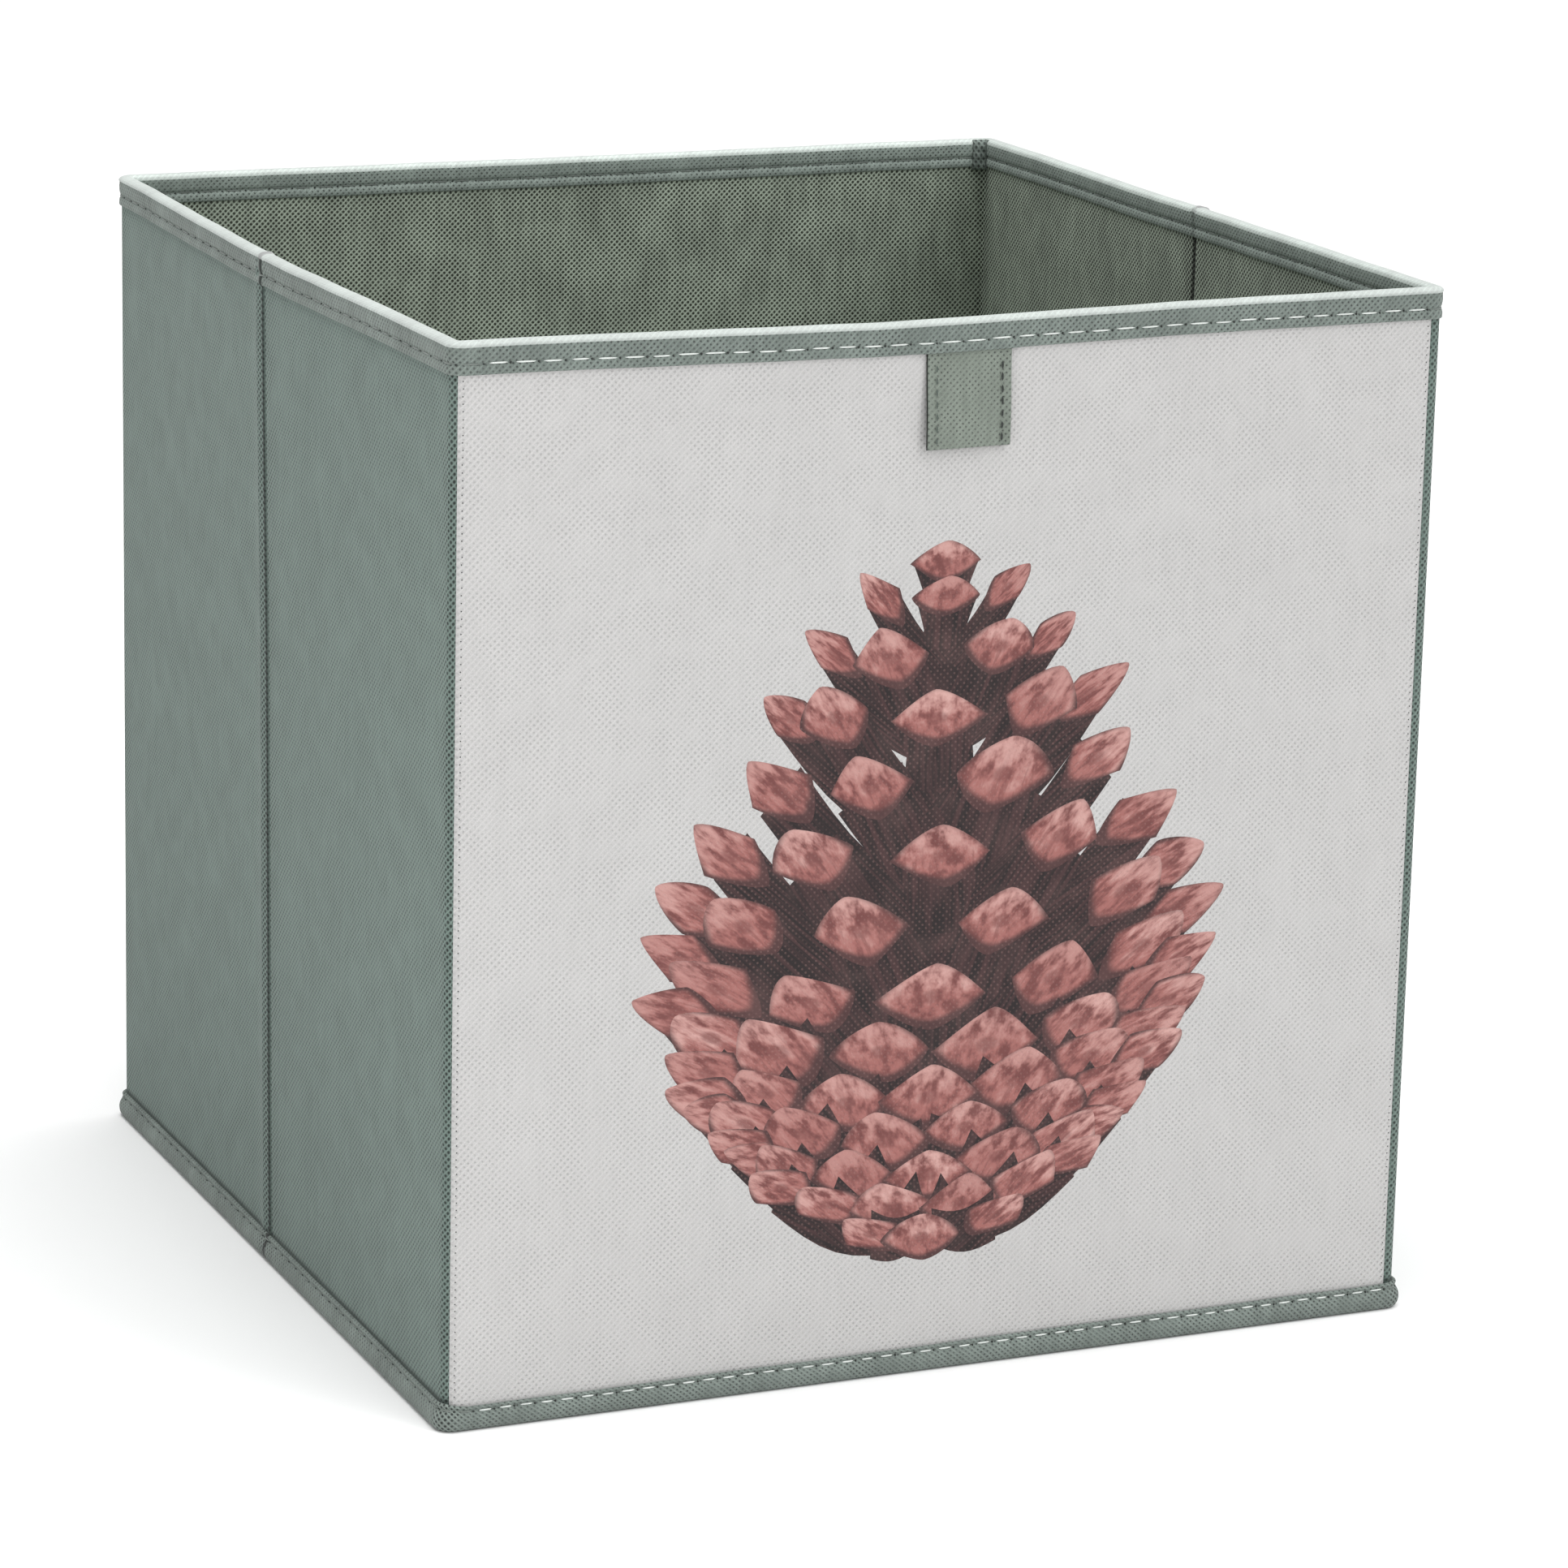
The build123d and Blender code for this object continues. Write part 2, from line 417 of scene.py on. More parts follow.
def bead(shape, line, normals, radius, kind=0):
    """A short thread or needle hole: a rounded bead along the line, its ends going down into the cloth."""
    sides, lift, sink = 6, 0.35, 0.35
    points = []
    count = len(line)
    for i, (point, normal) in enumerate(zip(line, normals)):
        point, normal = Vector(point), Vector(normal)
        along = (Vector(line[min(count - 1, i + 1)]) - Vector(line[max(0, i - 1)])).normalized()
        across = along.cross(normal).normalized()
        t = 2 * i / (count - 1) - 1
        fat = math.sqrt(max(0.0, 1 - abs(t) ** 3.2)) * radius + 0.02 * MM
        centre = point + normal * (radius * (lift - (lift + sink) * t ** 4))
        for k in range(sides):
            angle = 2 * math.pi * k / sides
            sideways, upward = across * fat * math.cos(angle), normal * fat * 0.85 * math.sin(angle)
            points.append(tuple(centre + sideways + upward))
    shape.add(points, tube_faces(count, sides), [(p[0] + p[1], p[2], 0) for p in points], kind)


# ---------------------------------------------------------------- materials

class Nodes:
    """A new material, with short calls for the nodes that it uses most."""

    def __init__(self, name):
        self.material = bpy.data.materials.new(name)
        self.material.use_nodes = True
        self.tree = self.material.node_tree
        self.shader = self.tree.nodes["Principled BSDF"]

    def add(self, kind, values=None, links=None, **settings):
        """A new node with its settings, socket values and links."""
        made = self.tree.nodes.new("ShaderNode" + kind)
        for key, value in settings.items():
            setattr(made, key, value)
        for key, value in (values or {}).items():
            made.inputs[key].default_value = value
        for key, source in (links or {}).items():
            self.tree.links.new(source, made.inputs[key])
        return made

    def math(self, operation, *terms):
        """A Math node whose inputs are numbers or sockets."""
        made = self.add("Math", operation=operation)
        for socket, value in zip(made.inputs, terms):
            if isinstance(value, (int, float)):
                socket.default_value = value
            else:
                self.tree.links.new(value, socket)
        return made.outputs[0]

    def times(self, a, b):
        return self.math("MULTIPLY", a, b)

    def plus(self, a, b):
        return self.math("ADD", a, b)

    def minus(self, a, b):
        return self.math("SUBTRACT", a, b)

    def size(self, value, power=1.0):
        """The size of value without its sign, to a power."""
        size = self.math("ABSOLUTE", value)
        return size if power == 1.0 else self.math("POWER", size, power)

    def mix(self, factor, a, b, blend="MIX"):
        """A colour mix whose factor and colours are constants or sockets."""
        made = self.add("Mix", data_type="RGBA", blend_type=blend)
        for i, value in ((0, factor), (6, a), (7, b)):
            if isinstance(value, bpy.types.NodeSocket):
                self.tree.links.new(value, made.inputs[i])
            else:
                made.inputs[i].default_value = value if i == 0 else (*value[:3], 1)
        return made.outputs[2]

    def step(self, value, low, high, to_low=0.0, to_high=1.0):
        """A smooth step of value from low to high."""
        return self.add("MapRange", {1: low, 2: high, 3: to_low, 4: to_high}, {0: value},
                        interpolation_type="SMOOTHSTEP").outputs[0]

    def noise(self, vector, scale, detail=2.0, roughness=0.5):
        values = {"Scale": scale, "Detail": detail, "Roughness": roughness}
        return self.add("TexNoise", values, {"Vector": vector}).outputs["Fac"]

    def attribute(self, name):
        return self.add("Attribute", attribute_name=name).outputs["Vector"]

    def parts(self, vector):
        return list(self.add("SeparateXYZ", None, {0: vector}).outputs)

    def vector(self, operation, a, b=None, **values):
        """A Vector Math node of a socket and a socket or constant."""
        constant = isinstance(b, tuple)
        links = {0: a} if b is None or constant else {0: a, 1: b}
        return self.add("VectorMath", {1: b} if constant else values, links, operation=operation)

    def surface(self, colour, bump=None, strength=0.0, distance=0.0, **values):
        """Gives the shader its colour, bump and constant values."""
        self.tree.links.new(colour, self.shader.inputs["Base Color"])
        for key, value in values.items():
            self.shader.inputs[key.replace("_", " ")].default_value = value
        if bump:
            made = self.add("Bump", {"Strength": strength, "Distance": distance}, {"Height": bump})
            self.tree.links.new(made.outputs[0], self.shader.inputs["Normal"])


def nonwoven(name, colour, pitch, dot=(0.20, 0.34), dot_shade=0.72, thread_shade=1.10, mottle=0.16, depth=0.22,
             tint=(1.0, 1.0, 1.0), patch=0.45, ridge=0.10, crown_shade=1.35):
    """Spunbond nonwoven: a diagonal lattice of pressed dots in a felt of fine threads, with a cloudy thickness.

    pitch is the distance between dots, dot the inner and outer edge of one as shares of a lattice cell, and
    patch how uneven they are. The shades are of the dots and the threads, and the crown's is its painted
    highlight. The marks also paint shade in folds and along shadow lines, and light where a fold mark is
    below 0. depth is the bump's, in millimetres.
    """
    n = Nodes(name)
    cloth = n.attribute("cloth")
    wander = n.add("TexNoise", {"Scale": 160.0, "Detail": 1.0}, {"Vector": cloth}).outputs["Color"]
    shift = n.vector("SUBTRACT", wander, (0.5, 0.5, 0.5)).outputs[0]
    shift = n.vector("SCALE", shift, Scale=0.30 * pitch).outputs[0]
    moved = n.vector("ADD", cloth, shift).outputs[0]
    size = math.sqrt(2) / pitch
    lattice = n.add("Mapping", {"Rotation": (0, 0, math.pi / 4), "Scale": (size, size, 0)}, {"Vector": moved})
    cell = n.vector("FRACTION", lattice.outputs[0]).outputs[0]
    middle = n.vector("SUBTRACT", cell, (0.5, 0.5, 0)).outputs[0]
    away = n.vector("LENGTH", middle).outputs["Value"]
    fibres = n.noise(cloth, 2600.0, 3.0, 0.7)
    strain, fold, crown = n.parts(n.attribute("marks"))

    pressed = n.step(n.minus(away, n.times(strain, 0.10)), dot[1], dot[0])
    strength = n.step(n.noise(cloth, 95.0), 0.30, 0.62, 1.0 - patch, 1.0)
    strength = n.math("MAXIMUM", strength, strain)
    strength = n.times(strength, n.minus(1.0, n.times(crown, 0.7)))
    pressed = n.times(pressed, strength)

    clouds = n.noise(cloth, 48.0, 3.0, 0.6)
    slanted = n.add("Mapping", {"Rotation": (0, 0, 0.5), "Scale": (330, 60, 1)}, {"Vector": cloth}).outputs[0]
    shade = n.plus(n.times(clouds, 0.6), n.times(n.noise(slanted, 1.0), 0.4))
    shade = n.step(shade, 0.30, 0.70, 1 - mottle, 1 + mottle)
    shade = n.times(shade, n.step(fibres, 0.3, 0.7, 0.90, 1.10))
    lane = n.size(n.parts(middle)[0])
    shade = n.times(shade, n.step(lane, 0.30, 0.48, 1.0, 1.0 + ridge))
    # Painted shade in folds and along shadow lines.
    shade = n.times(shade, n.step(fold, 0.0, 1.0, 1.0, 0.14))
    # Painted light where the fold mark is below 0, as on the rim binding's inner side.
    shade = n.times(shade, n.step(fold, -1.0, 0.0, 1.55, 1.0))
    # Painted highlight on the rim's crown.
    shade = n.times(shade, n.step(crown, 0.0, 1.0, 1.0, crown_shade))

    threads = [c * thread_shade for c in colour]
    dots = [c * dot_shade * share for c, share in zip(colour, tint)]
    deep_dots = n.mix(n.step(strain, 0.0, 1.0, 0.0, 0.75), dots, [c * 0.35 for c in dots])
    coloured = n.mix(pressed, threads, deep_dots)
    grey = n.add("CombineColor", None, {0: shade, 1: shade, 2: shade}).outputs[0]
    final = n.mix(1.0, coloured, grey, "MULTIPLY")
    # More of the crown's painted highlight, greyed toward a pale neutral.
    final = n.mix(n.times(crown, 0.55), final, [sum(colour) / 3 * crown_shade * 1.08] * 3)
    height = n.minus(n.times(fibres, 0.22), pressed)
    n.surface(final, height, 0.85, depth * MM, Roughness=0.86, Sheen_Weight=0.12, Sheen_Roughness=0.5,
              Specular_IOR_Level=0.25)
    return n, pressed, final


def printed(name, colour, pitch):
    """The front fabric: off-white nonwoven, with the pine cone's inks where the mesh says that a scale lies."""
    n, pressed, white = nonwoven(name, colour, pitch, dot=(0.10, 0.31), dot_shade=0.83, thread_shade=1.02,
                                 mottle=0.03, depth=0.15, patch=0.70)
    black, brown = (0.012, 0.007, 0.008), (0.048, 0.021, 0.022)
    deep, rose, pale = (0.150, 0.045, 0.042), (0.320, 0.120, 0.108), (0.56, 0.33, 0.30)
    up, across, seed = n.parts(n.attribute("scale_place"))
    inked, light, dark = n.parts(n.attribute("scale_look"))

    def grain(wide, high):
        """Places on a scale, stretched, and different on each scale."""
        return n.add("CombineXYZ", None, {0: n.times(across, wide), 1: n.times(up, high), 2: seed}).outputs[0]

    wash = n.noise(grain(3.2, 1.5), 1.0, 3.0, 0.6)
    streaks = n.noise(grain(9.0, 1.2), 1.0)
    ink = n.mix(n.step(wash, 0.34, 0.56), deep, rose)
    lift = n.plus(n.times(up, 0.22), wash)
    ink = n.mix(n.times(n.step(lift, 0.46, 0.80), light), ink, pale)
    streak = n.times(n.step(streaks, 0.54, 0.66), n.step(up, 0.9, -0.5))
    ink = n.mix(n.times(streak, 0.45), ink, deep)
    spot = n.plus(n.size(across, 2.0), n.size(up, 2.0))
    ink = n.mix(n.times(n.step(spot, 0.07, 0.015), 0.55), ink, deep)
    edge = n.plus(n.size(up, 1.15), n.size(across, 1.5))
    under = n.step(n.minus(edge, n.times(up, 0.22)), 0.68, 1.00)
    ink = n.mix(n.times(under, 0.92), ink, brown)
    ink = n.mix(dark, ink, n.mix(n.step(streaks, 0.35, 0.70), black, brown))
    tone = n.noise(n.attribute("cloth"), 70.0, 3.0, 0.6)
    ink = n.mix(n.step(tone, 0.42, 0.75, 0.0, 0.05), ink, pale)
    ink = n.mix(n.times(pressed, 0.13), ink, pale)
    n.surface(n.mix(n.times(inked, 0.98), white, ink))
    return n.material


def thread_material(name, colour):
    """Sewing thread: a fine twist along a soft, slightly uneven colour."""
    n = Nodes(name)
    cloth = n.attribute("cloth")
    turned = n.add("Mapping", {"Rotation": (0, 0, 0.7)}, {"Vector": cloth}).outputs[0]
    twist = n.add("TexWave", {"Scale": 900.0, "Distortion": 0.6}, {"Vector": turned}).outputs["Fac"]
    shade = n.mix(n.step(n.noise(cloth, 300.0), 0.3, 0.7), [c * 0.82 for c in colour], colour)
    shade = n.mix(n.times(twist, 0.35), shade, [c * 0.6 for c in colour])
    n.surface(shade, twist, 0.5, 0.1 * MM, Roughness=0.75, Sheen_Weight=0.15)
    return n.material


def board_material(name):
    """Greyboard: a dull felt of pulp with darker flecks."""
    n = Nodes(name)
    place = n.add("TexCoord").outputs["Object"]
    pulp = n.noise(place, 120.0, 4.0, 0.65)
    flecks = n.noise(place, 900.0, 1.0)
    colour = n.mix(n.step(pulp, 0.35, 0.65), (0.26, 0.22, 0.17), (0.36, 0.32, 0.25))
    colour = n.mix(n.step(flecks, 0.66, 0.72, 0.0, 0.6), colour, (0.12, 0.10, 0.08))
    n.surface(colour, pulp, 0.4, 0.15 * MM, Roughness=0.95)
    return n.material


def floor_material():
    """A pale studio floor, very slightly uneven."""
    n = Nodes("studio_floor")
    speck = n.noise(n.add("TexCoord").outputs["Object"], 3.0, 3.0)
    n.surface(n.mix(speck, (0.86, 0.86, 0.86), (0.90, 0.90, 0.90)), Roughness=0.9, Specular_IOR_Level=0.1)
    return n.material


def cloth_material(*look, **more):
    """A plain nonwoven, as nonwoven() makes it."""
    return nonwoven(*look, **more)[0].material


OUTER_CLOTH = cloth_material("outer_nonwoven", (0.119, 0.160, 0.142), 2.05 * MM, dot=(0.12, 0.34),
                             dot_shade=0.42, mottle=0.07, ridge=0.24)
TAPE = cloth_material("binding_nonwoven", (0.142, 0.168, 0.153), 2.0 * MM, dot=(0.08, 0.31), dot_shade=0.38,
                      thread_shade=1.12, mottle=0.18, depth=0.30, patch=0.55, ridge=0.26, crown_shade=2.7)
TAB_CLOTH = cloth_material("tab_nonwoven", (0.165, 0.190, 0.163), 2.0 * MM, dot=(0.06, 0.28), dot_shade=0.42,
                           thread_shade=1.12, mottle=0.14, depth=0.26, patch=0.70, ridge=0.18)
LINING_CLOTH = cloth_material("lining_nonwoven", (0.215, 0.250, 0.205), 1.95 * MM, dot=(0.18, 0.42),
                              dot_shade=0.16, thread_shade=1.30, mottle=0.20, depth=0.34,
                              tint=(1.0, 1.0, 0.85), patch=0.15, ridge=0.60)
PRINTED_CLOTH = printed("printed_nonwoven", (0.468, 0.463, 0.458), 2.2 * MM)
PALE_THREAD = thread_material("pale_thread", (0.80, 0.84, 0.81))
DARK_THREAD = thread_material("dark_thread", (0.075, 0.10, 0.085))
TAPE_THREAD = thread_material("tape_thread", (0.20, 0.23, 0.21))
# Near-black: the painted shade inside the needle holes. The pull tab's darker right-hand stitches use it too.
NEEDLE_HOLE = thread_material("needle_hole", (0.020, 0.026, 0.022))
GREYBOARD = board_material("stiffener_board")


# ---------------------------------------------------------------- camera, floor and light

def camera():
    """The view from the front left, a little above, with a long lens that is turned and shifted a little."""
    azimuth, elevation, roll = math.radians(22.87), math.radians(13.80), math.radians(-1.10)
    target, distance = Vector((-11.6, 8.8, 174.5)) * MM, 1.819
    ahead = Vector((math.sin(azimuth) * math.cos(elevation), math.cos(azimuth) * math.cos(elevation),
                    -math.sin(elevation)))
    right = Vector((math.cos(azimuth), -math.sin(azimuth), 0))
    up = right.cross(ahead)
    data = bpy.data.cameras.new("camera")
    data.sensor_width, data.lens = 36.0, 130.90994
    data.shift_x, data.shift_y = 0.05486542, -0.06521739
    data.clip_start, data.clip_end = 0.05, 60.0
    made = put("camera", data)
    matrix = made.matrix_world.to_3x3()
    matrix.col[0] = right * math.cos(roll) - up * math.sin(roll)
    matrix.col[1] = right * math.sin(roll) + up * math.cos(roll)
    matrix.col[2] = -ahead
    made.matrix_world = matrix.to_4x4()
    made.location = target - ahead * distance
    bpy.context.scene.camera = made


def area_light(name, place, size, power):
    """A round lamp that points at the middle of the bin."""
    data = bpy.data.lights.new(name, "AREA")
    data.shape, data.size, data.energy = "DISK", size, power
    made = put(name, data)
    made.location = place
    made.rotation_euler = (Vector((0, 0, 0.15)) - Vector(place)).to_track_quat("-Z", "Y").to_euler()


def studio():
    """A pale floor, a white world, and soft light from all round and above."""
    reach = 14.0
    mesh = bpy.data.meshes.new("studio_floor")
    mesh.from_pydata([(-reach, -reach, 0), (reach, -reach, 0), (reach, reach, 0), (-reach, reach, 0)], [],
                     [(0, 1, 2, 3)])
    mesh.materials.append(floor_material())
    put("studio_floor", mesh)
    world = bpy.data.worlds.new("studio")
    bpy.context.scene.world = world
    world.use_nodes = True
    back = world.node_tree.nodes["Background"]
    back.inputs["Color"].default_value = (1.0, 1.0, 1.0, 1)
    back.inputs["Strength"].default_value = 0.42
    area_light("key", (1.5, -2.3, 1.5), 1.2, 17)
    area_light("top", (-0.55, 0.2, 2.3), 1.2, 18)
    area_light("side", (-0.62, -0.45, 0.30), 0.4, 0.8)
    sun = bpy.data.lights.new("overhead", "SUN")
    sun.energy, sun.angle = 2.6, math.radians(70)
    put("overhead", sun).rotation_euler = (math.radians(12), math.radians(14), 0)
    bpy.context.scene.view_settings.view_transform = "Standard"


# ---------------------------------------------------------------- the pine cone print

CONE_LOW, CONE_HEIGHT, CONE_RADIUS, CONE_X = 41 * MM, 208 * MM, 88 * MM, -5 * MM
WIDEST = 0.30     # the share of its height at which the pine cone is widest


def cone_radius(f):
    """Half the pine cone's width at share f of its height, to its scales' tips."""
    f = max(0.0, min(1.0, f))
    if f < WIDEST:
        return CONE_RADIUS * (0.28 + 0.72 * math.sqrt(1 - ((WIDEST - f) / WIDEST) ** 2))
    share = (f - WIDEST) / (1 - WIDEST)
    return CONE_RADIUS * (1 - share ** 1.5) ** 0.8 + 9 * MM * share


def head_width(f):
    """How wide a scale's head is at share f of the pine cone's height."""
    return (16 + 16 * math.sin(math.pi * min(1.0, 0.14 + 0.80 * f))) * MM


def row_curve(f):
    """How far a row of scales curves up toward its sides, as a share of its radius."""
    return 0.05 + 0.40 * (1 - f) ** 2


def diamond(wobble):
    """A scale's head from -1 to 1: a diamond with soft sides and rounded corners, a little uneven."""
    line, steps = [], 36
    for k in range(steps):
        angle = 2 * math.pi * k / steps
        c, n = math.cos(angle), math.sin(angle)
        up = math.copysign(abs(c) ** 1.75, c) + 0.05 * math.sin(3 * angle + wobble)
        across = math.copysign(abs(n) ** 1.35, n) + 0.05 * math.cos(2 * angle + 1.7 * wobble)
        line.append((up, across))
    return line


def underside(foot, head, narrow, wide, sag):
    """A scale's dark underside: a band from its foot at the core, widening and curving up to its head."""
    along = (head - foot).normalized()
    side = Vector((along.y, -along.x))
    right, left = [], []
    for k in range(9):
        t = k / 8
        place = foot.lerp(head, t) + Vector((0, -sag * math.sin(math.pi * t)))
        half = narrow + (wide - narrow) * t ** 1.3
        right.append(place + side * half)
        left.append(place - side * half)
    return right + left[::-1]


def outline_of(points, middle, up, across, seed, light, dark):
    """An outline of the print, with the frame of its scale, from which the ink is shaded."""
    return {"line": [tuple(p) for p in points], "middle": middle, "up": up, "across": across, "seed": seed,
            "light": light, "dark": dark}


def cone_core():
    """The dark core that shows between the scales."""
    line = []
    for k in range(31):
        f = k / 30
        half = cone_radius(f) * (0.60 - 0.44 * smooth((f - 0.10) / 0.34)) + 1 * MM
        line.append((half, CONE_LOW + 3 * MM + f * CONE_HEIGHT + row_curve(f) * cone_radius(f) * 0.30))
    points = [(CONE_X + x, z) for x, z in line] + [(CONE_X - x, z) for x, z in reversed(line)]
    half_height = CONE_HEIGHT / 2
    return outline_of(points, Vector((CONE_X, CONE_LOW)), Vector((0, half_height)), Vector((half_height, 0)),
                      0.0, 0.0, 1.0)


def cone_scales(chance):
    """The scales from the hindmost to the foremost, each as its share of the height and its turn."""
    rows, f = [], 0.0
    while f < 0.97:
        rows.append(f)
        f += (0.45 + 0.25 * smooth((f - 0.16) / 0.30)) * head_width(f) / CONE_HEIGHT
    scales = [(1.0, 0.0)]
    for number, f in enumerate(rows):
        apart = 1.04 + 0.50 * smooth((f - 0.16) / 0.30)
        around = max(3, round(2 * math.pi * cone_radius(f) / (head_width(f) * apart)))
        for k in range(around):
            turn = 2 * math.pi * (k + 0.5 * (number % 2) + chance.uniform(-0.06, 0.06)) / around
            if math.cos(turn) > (0.10 if f < 0.25 else -0.10):
                scales.append((f + chance.uniform(-0.006, 0.006), turn))
    return sorted(scales, key=lambda scale: 0.10 * math.cos(scale[1]) - scale[0])


def pine_cone():
    """A generic open pine cone, worked out by formula: its outlines, from the hindmost to the foremost."""
    chance = random.Random(8)
    outlines = [cone_core()]
    for f, turn in cone_scales(chance):
        sideways, facing = math.sin(turn), math.cos(turn)
        radius, width, curve = cone_radius(f), head_width(f) * chance.uniform(0.93, 1.10), row_curve(f)
        lean = sideways * (1.30 - 0.50 * f) + chance.uniform(-0.10, 0.10)
        outward = Vector((math.sin(lean), math.cos(lean)))
        level = Vector((max(0.2, facing), curve * sideways)).normalized()
        square = Vector((outward.y, -outward.x))
        across = (level * max(0.0, facing) + square * abs(sideways)).normalized()
        up = outward * width * (0.31 + 0.17 * abs(sideways)) * chance.uniform(0.92, 1.08)
        across = across * width * (0.54 - 0.30 * sideways ** 2) * chance.uniform(0.95, 1.05)
        head = Vector((CONE_X + radius * sideways * 0.93,
                       CONE_LOW + f * CONE_HEIGHT + curve * radius * (1 - facing)))
        foot = Vector((CONE_X + 0.10 * radius * sideways,
                       max(CONE_LOW + 4 * MM, head.y - 0.75 * width - 0.30 * radius * abs(sideways))))
        seed = chance.uniform(0, 40)
        band = underside(foot, head, width * 0.26, across.length * 0.92, 0.13 * radius * abs(sideways))
        reach = (head - foot).length
        outlines.append(outline_of(band, head, outward * reach, across, seed, 0.5, 1.0))
        face = [head + up * a + across * b for a, b in diamond(seed)]
        outlines.append(outline_of(face, head, up, across, seed, chance.uniform(0.35, 1.0), 0.0))
    return outlines


def in_frame(place, outline):
    """A place in the frame of its scale: how far it is up and across, from -1 to 1 over the head."""
    up, across = outline["up"], outline["across"]
    away = place - outline["middle"]
    size = up.x * across.y - up.y * across.x
    return (away.x * across.y - away.y * across.x) / size, (up.x * away.y - up.y * away.x) / size


def graded(low, high, near_edge, step):
    """Places from low to high, step apart, with the near_edge distances from both ends put in."""
    first, last = low + near_edge[-1], high - near_edge[-1]
    count = round((last - first) / step)
    middle = [first + (last - first) * k / count for k in range(count + 1)]
    inset = near_edge[:-1]
    return [low, *(low + d for d in inset), *middle, *(high - d for d in reversed(inset)), high]


def front_place(x, z, out):
    """A point of the front fabric, whose side edges turn in to the seams."""
    turn_in = 0.50 * MM * (1 - smooth(min(x - PRINT_LEFT, PRINT_RIGHT - x) / (1.1 * MM)))
    past = max(0.0, -SEAM_X - x)
    corner = OUTER_FACE - SEAM_X
    turn_in += corner - math.sqrt(corner ** 2 - past ** 2)
    return settle((x, -OUTER_FACE - out + turn_in, z))


def mark_scales(mesh, flat, owners, outlines):
    """Tells the print's material where in its scale each face corner is, and how the scale is inked."""
    place = mesh.attributes.new("scale_place", "FLOAT_VECTOR", "CORNER")
    look = mesh.attributes.new("scale_look", "FLOAT_VECTOR", "CORNER")
    for faces, polygon in zip(owners, mesh.polygons):
        owner = max(faces, default=0)
        if owner == 0:
            continue
        outline = outlines[owner - 1]
        for corner in polygon.loop_indices:
            point = flat[mesh.loops[corner].vertex_index % len(flat)] * MM
            place.data[corner].vector = (*in_frame(point, outline), outline["seed"])
            look.data[corner].vector = (1.0, outline["light"], outline["dark"])


def front_fabric():
    """The printed front: one flat triangulation of the cloth and the pine cone's outlines, in two faces."""
    columns = graded(PRINT_LEFT, PRINT_RIGHT, (0.3 * MM, 0.7 * MM, 1.2 * MM, 2.5 * MM), 5 * MM)
    height, steps = FABRIC_TOP - FABRIC_BOTTOM, 64
    rows = [FABRIC_BOTTOM + height * k / steps for k in range(steps + 1)]
    points = [Vector((x / MM, z / MM)) for z in rows for x in columns]
    outlines = pine_cone()
    faces = [grid_border(len(columns), len(rows))]
    for outline in outlines:
        start = len(points)
        line = outline["line"]
        area = sum(a[0] * b[1] - b[0] * a[1] for a, b in zip(line, line[1:] + line[:1]))
        if area < 0:
            line = line[::-1]
        points += [Vector((x / MM, z / MM)) for x, z in line]
        faces.append(list(range(start, len(points))))
    flat, _, triangles, _, _, owners = geometry.delaunay_2d_cdt(points, [], faces, 0, 1e-4, True)
    count = len(flat)
    front = [front_place(p.x * MM, p.y * MM, 0) for p in flat]
    back = [front_place(p.x * MM, p.y * MM, -PLY) for p in flat]
    cloth = [(p.x * MM, p.y * MM, 0.0) for p in flat]
    edges = dict.fromkeys(edge for t in triangles for edge in zip(t, t[1:] + t[:1]))
    border = [(a, b) for a, b in edges if (b, a) not in edges]
    shape = Shape()
    shape.add(front + back, sheet_faces([tuple(t) for t in triangles], border, count), cloth + cloth)
    fabric = shape.object("front_printed_fabric_cloth", [PRINTED_CLOTH], "printed_nonwoven")
    mark_scales(fabric.data, flat, owners, outlines)
    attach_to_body(fabric, "front")
    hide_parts("front_printed_fabric")


# ---------------------------------------------------------------- the fabric rings

def flat_loop(low, high, steps, thickness=PLY):
    """The section of a flat wall from low to high, its outer side at out 0."""
    return cloth_loop([(0.0, low + (high - low) * k / steps) for k in range(steps + 1)], thickness, 1)


def seamed(x, y, z):
    """Turns the outer fabric's free edges in to the seams beside the front fabric."""
    if y < -OUTER_FACE + 2 * MM:
        past = PRINT_LEFT - x if x < 0 else x - PRINT_RIGHT
        y += 0.5 * MM * (1 - smooth(past / (1.0 * MM)))
    return x, y, z


def outer_fabric_nodes(name):
    """The CAD nodes that a section of the outer fabric stands for."""
    if name in CORNERS:
        return [name + "_strip"]
    return [] if name == "left_crease" else [name + "_outer_fabric"]


def outer_fabric():
    """The green fabric of the sides and the rear, which meets the front fabric at the front corners."""
    ring = Ring(OUTER_FACE, OUTER_FACE - SEAM_X)
    turned = ring.radius * math.asin((-PRINT_LEFT - SEAM_X) / ring.radius)
    seam_gap = 0.02 * MM
    ends = {"front_right_corner": ((0, PRINT_RIGHT + seam_gap), (1, -C)),
            "front_left_corner": ((3, C), (4, -SEAM_X - turned - seam_gap))}
    loop = flat_loop(FABRIC_BOTTOM, FABRIC_TOP, 160)
    # Painted shadow lines under the rim binding and above the base binding.
    swept_ring("outer_fabric_cloth", ring, loop, OUTER_CLOTH, "outer_nonwoven", OUTER_BEND,
               FABRIC_TOP - FABRIC_BOTTOM, outer_fabric_nodes, skip=("front",), ends=ends, dent=-0.9 * MM,
               extra=seamed, gaps=(BELOW_RIM, BASE_TOP - 0.3 * MM))


def lining():
    """The coarser green fabric of the inside."""
    # A painted shadow line under the rim binding.
    swept_ring("lining_cloth", Ring(INNER_FACE + PLY, 1.5 * MM), flat_loop(LINING_BOTTOM, LINING_TOP, 120),
               LINING_CLOTH, "lining_nonwoven", 1.3 * MM, LINING_TOP - LINING_BOTTOM, walls_only("lining"),
               dent=0.5 * MM, gaps=(BELOW_RIM,))


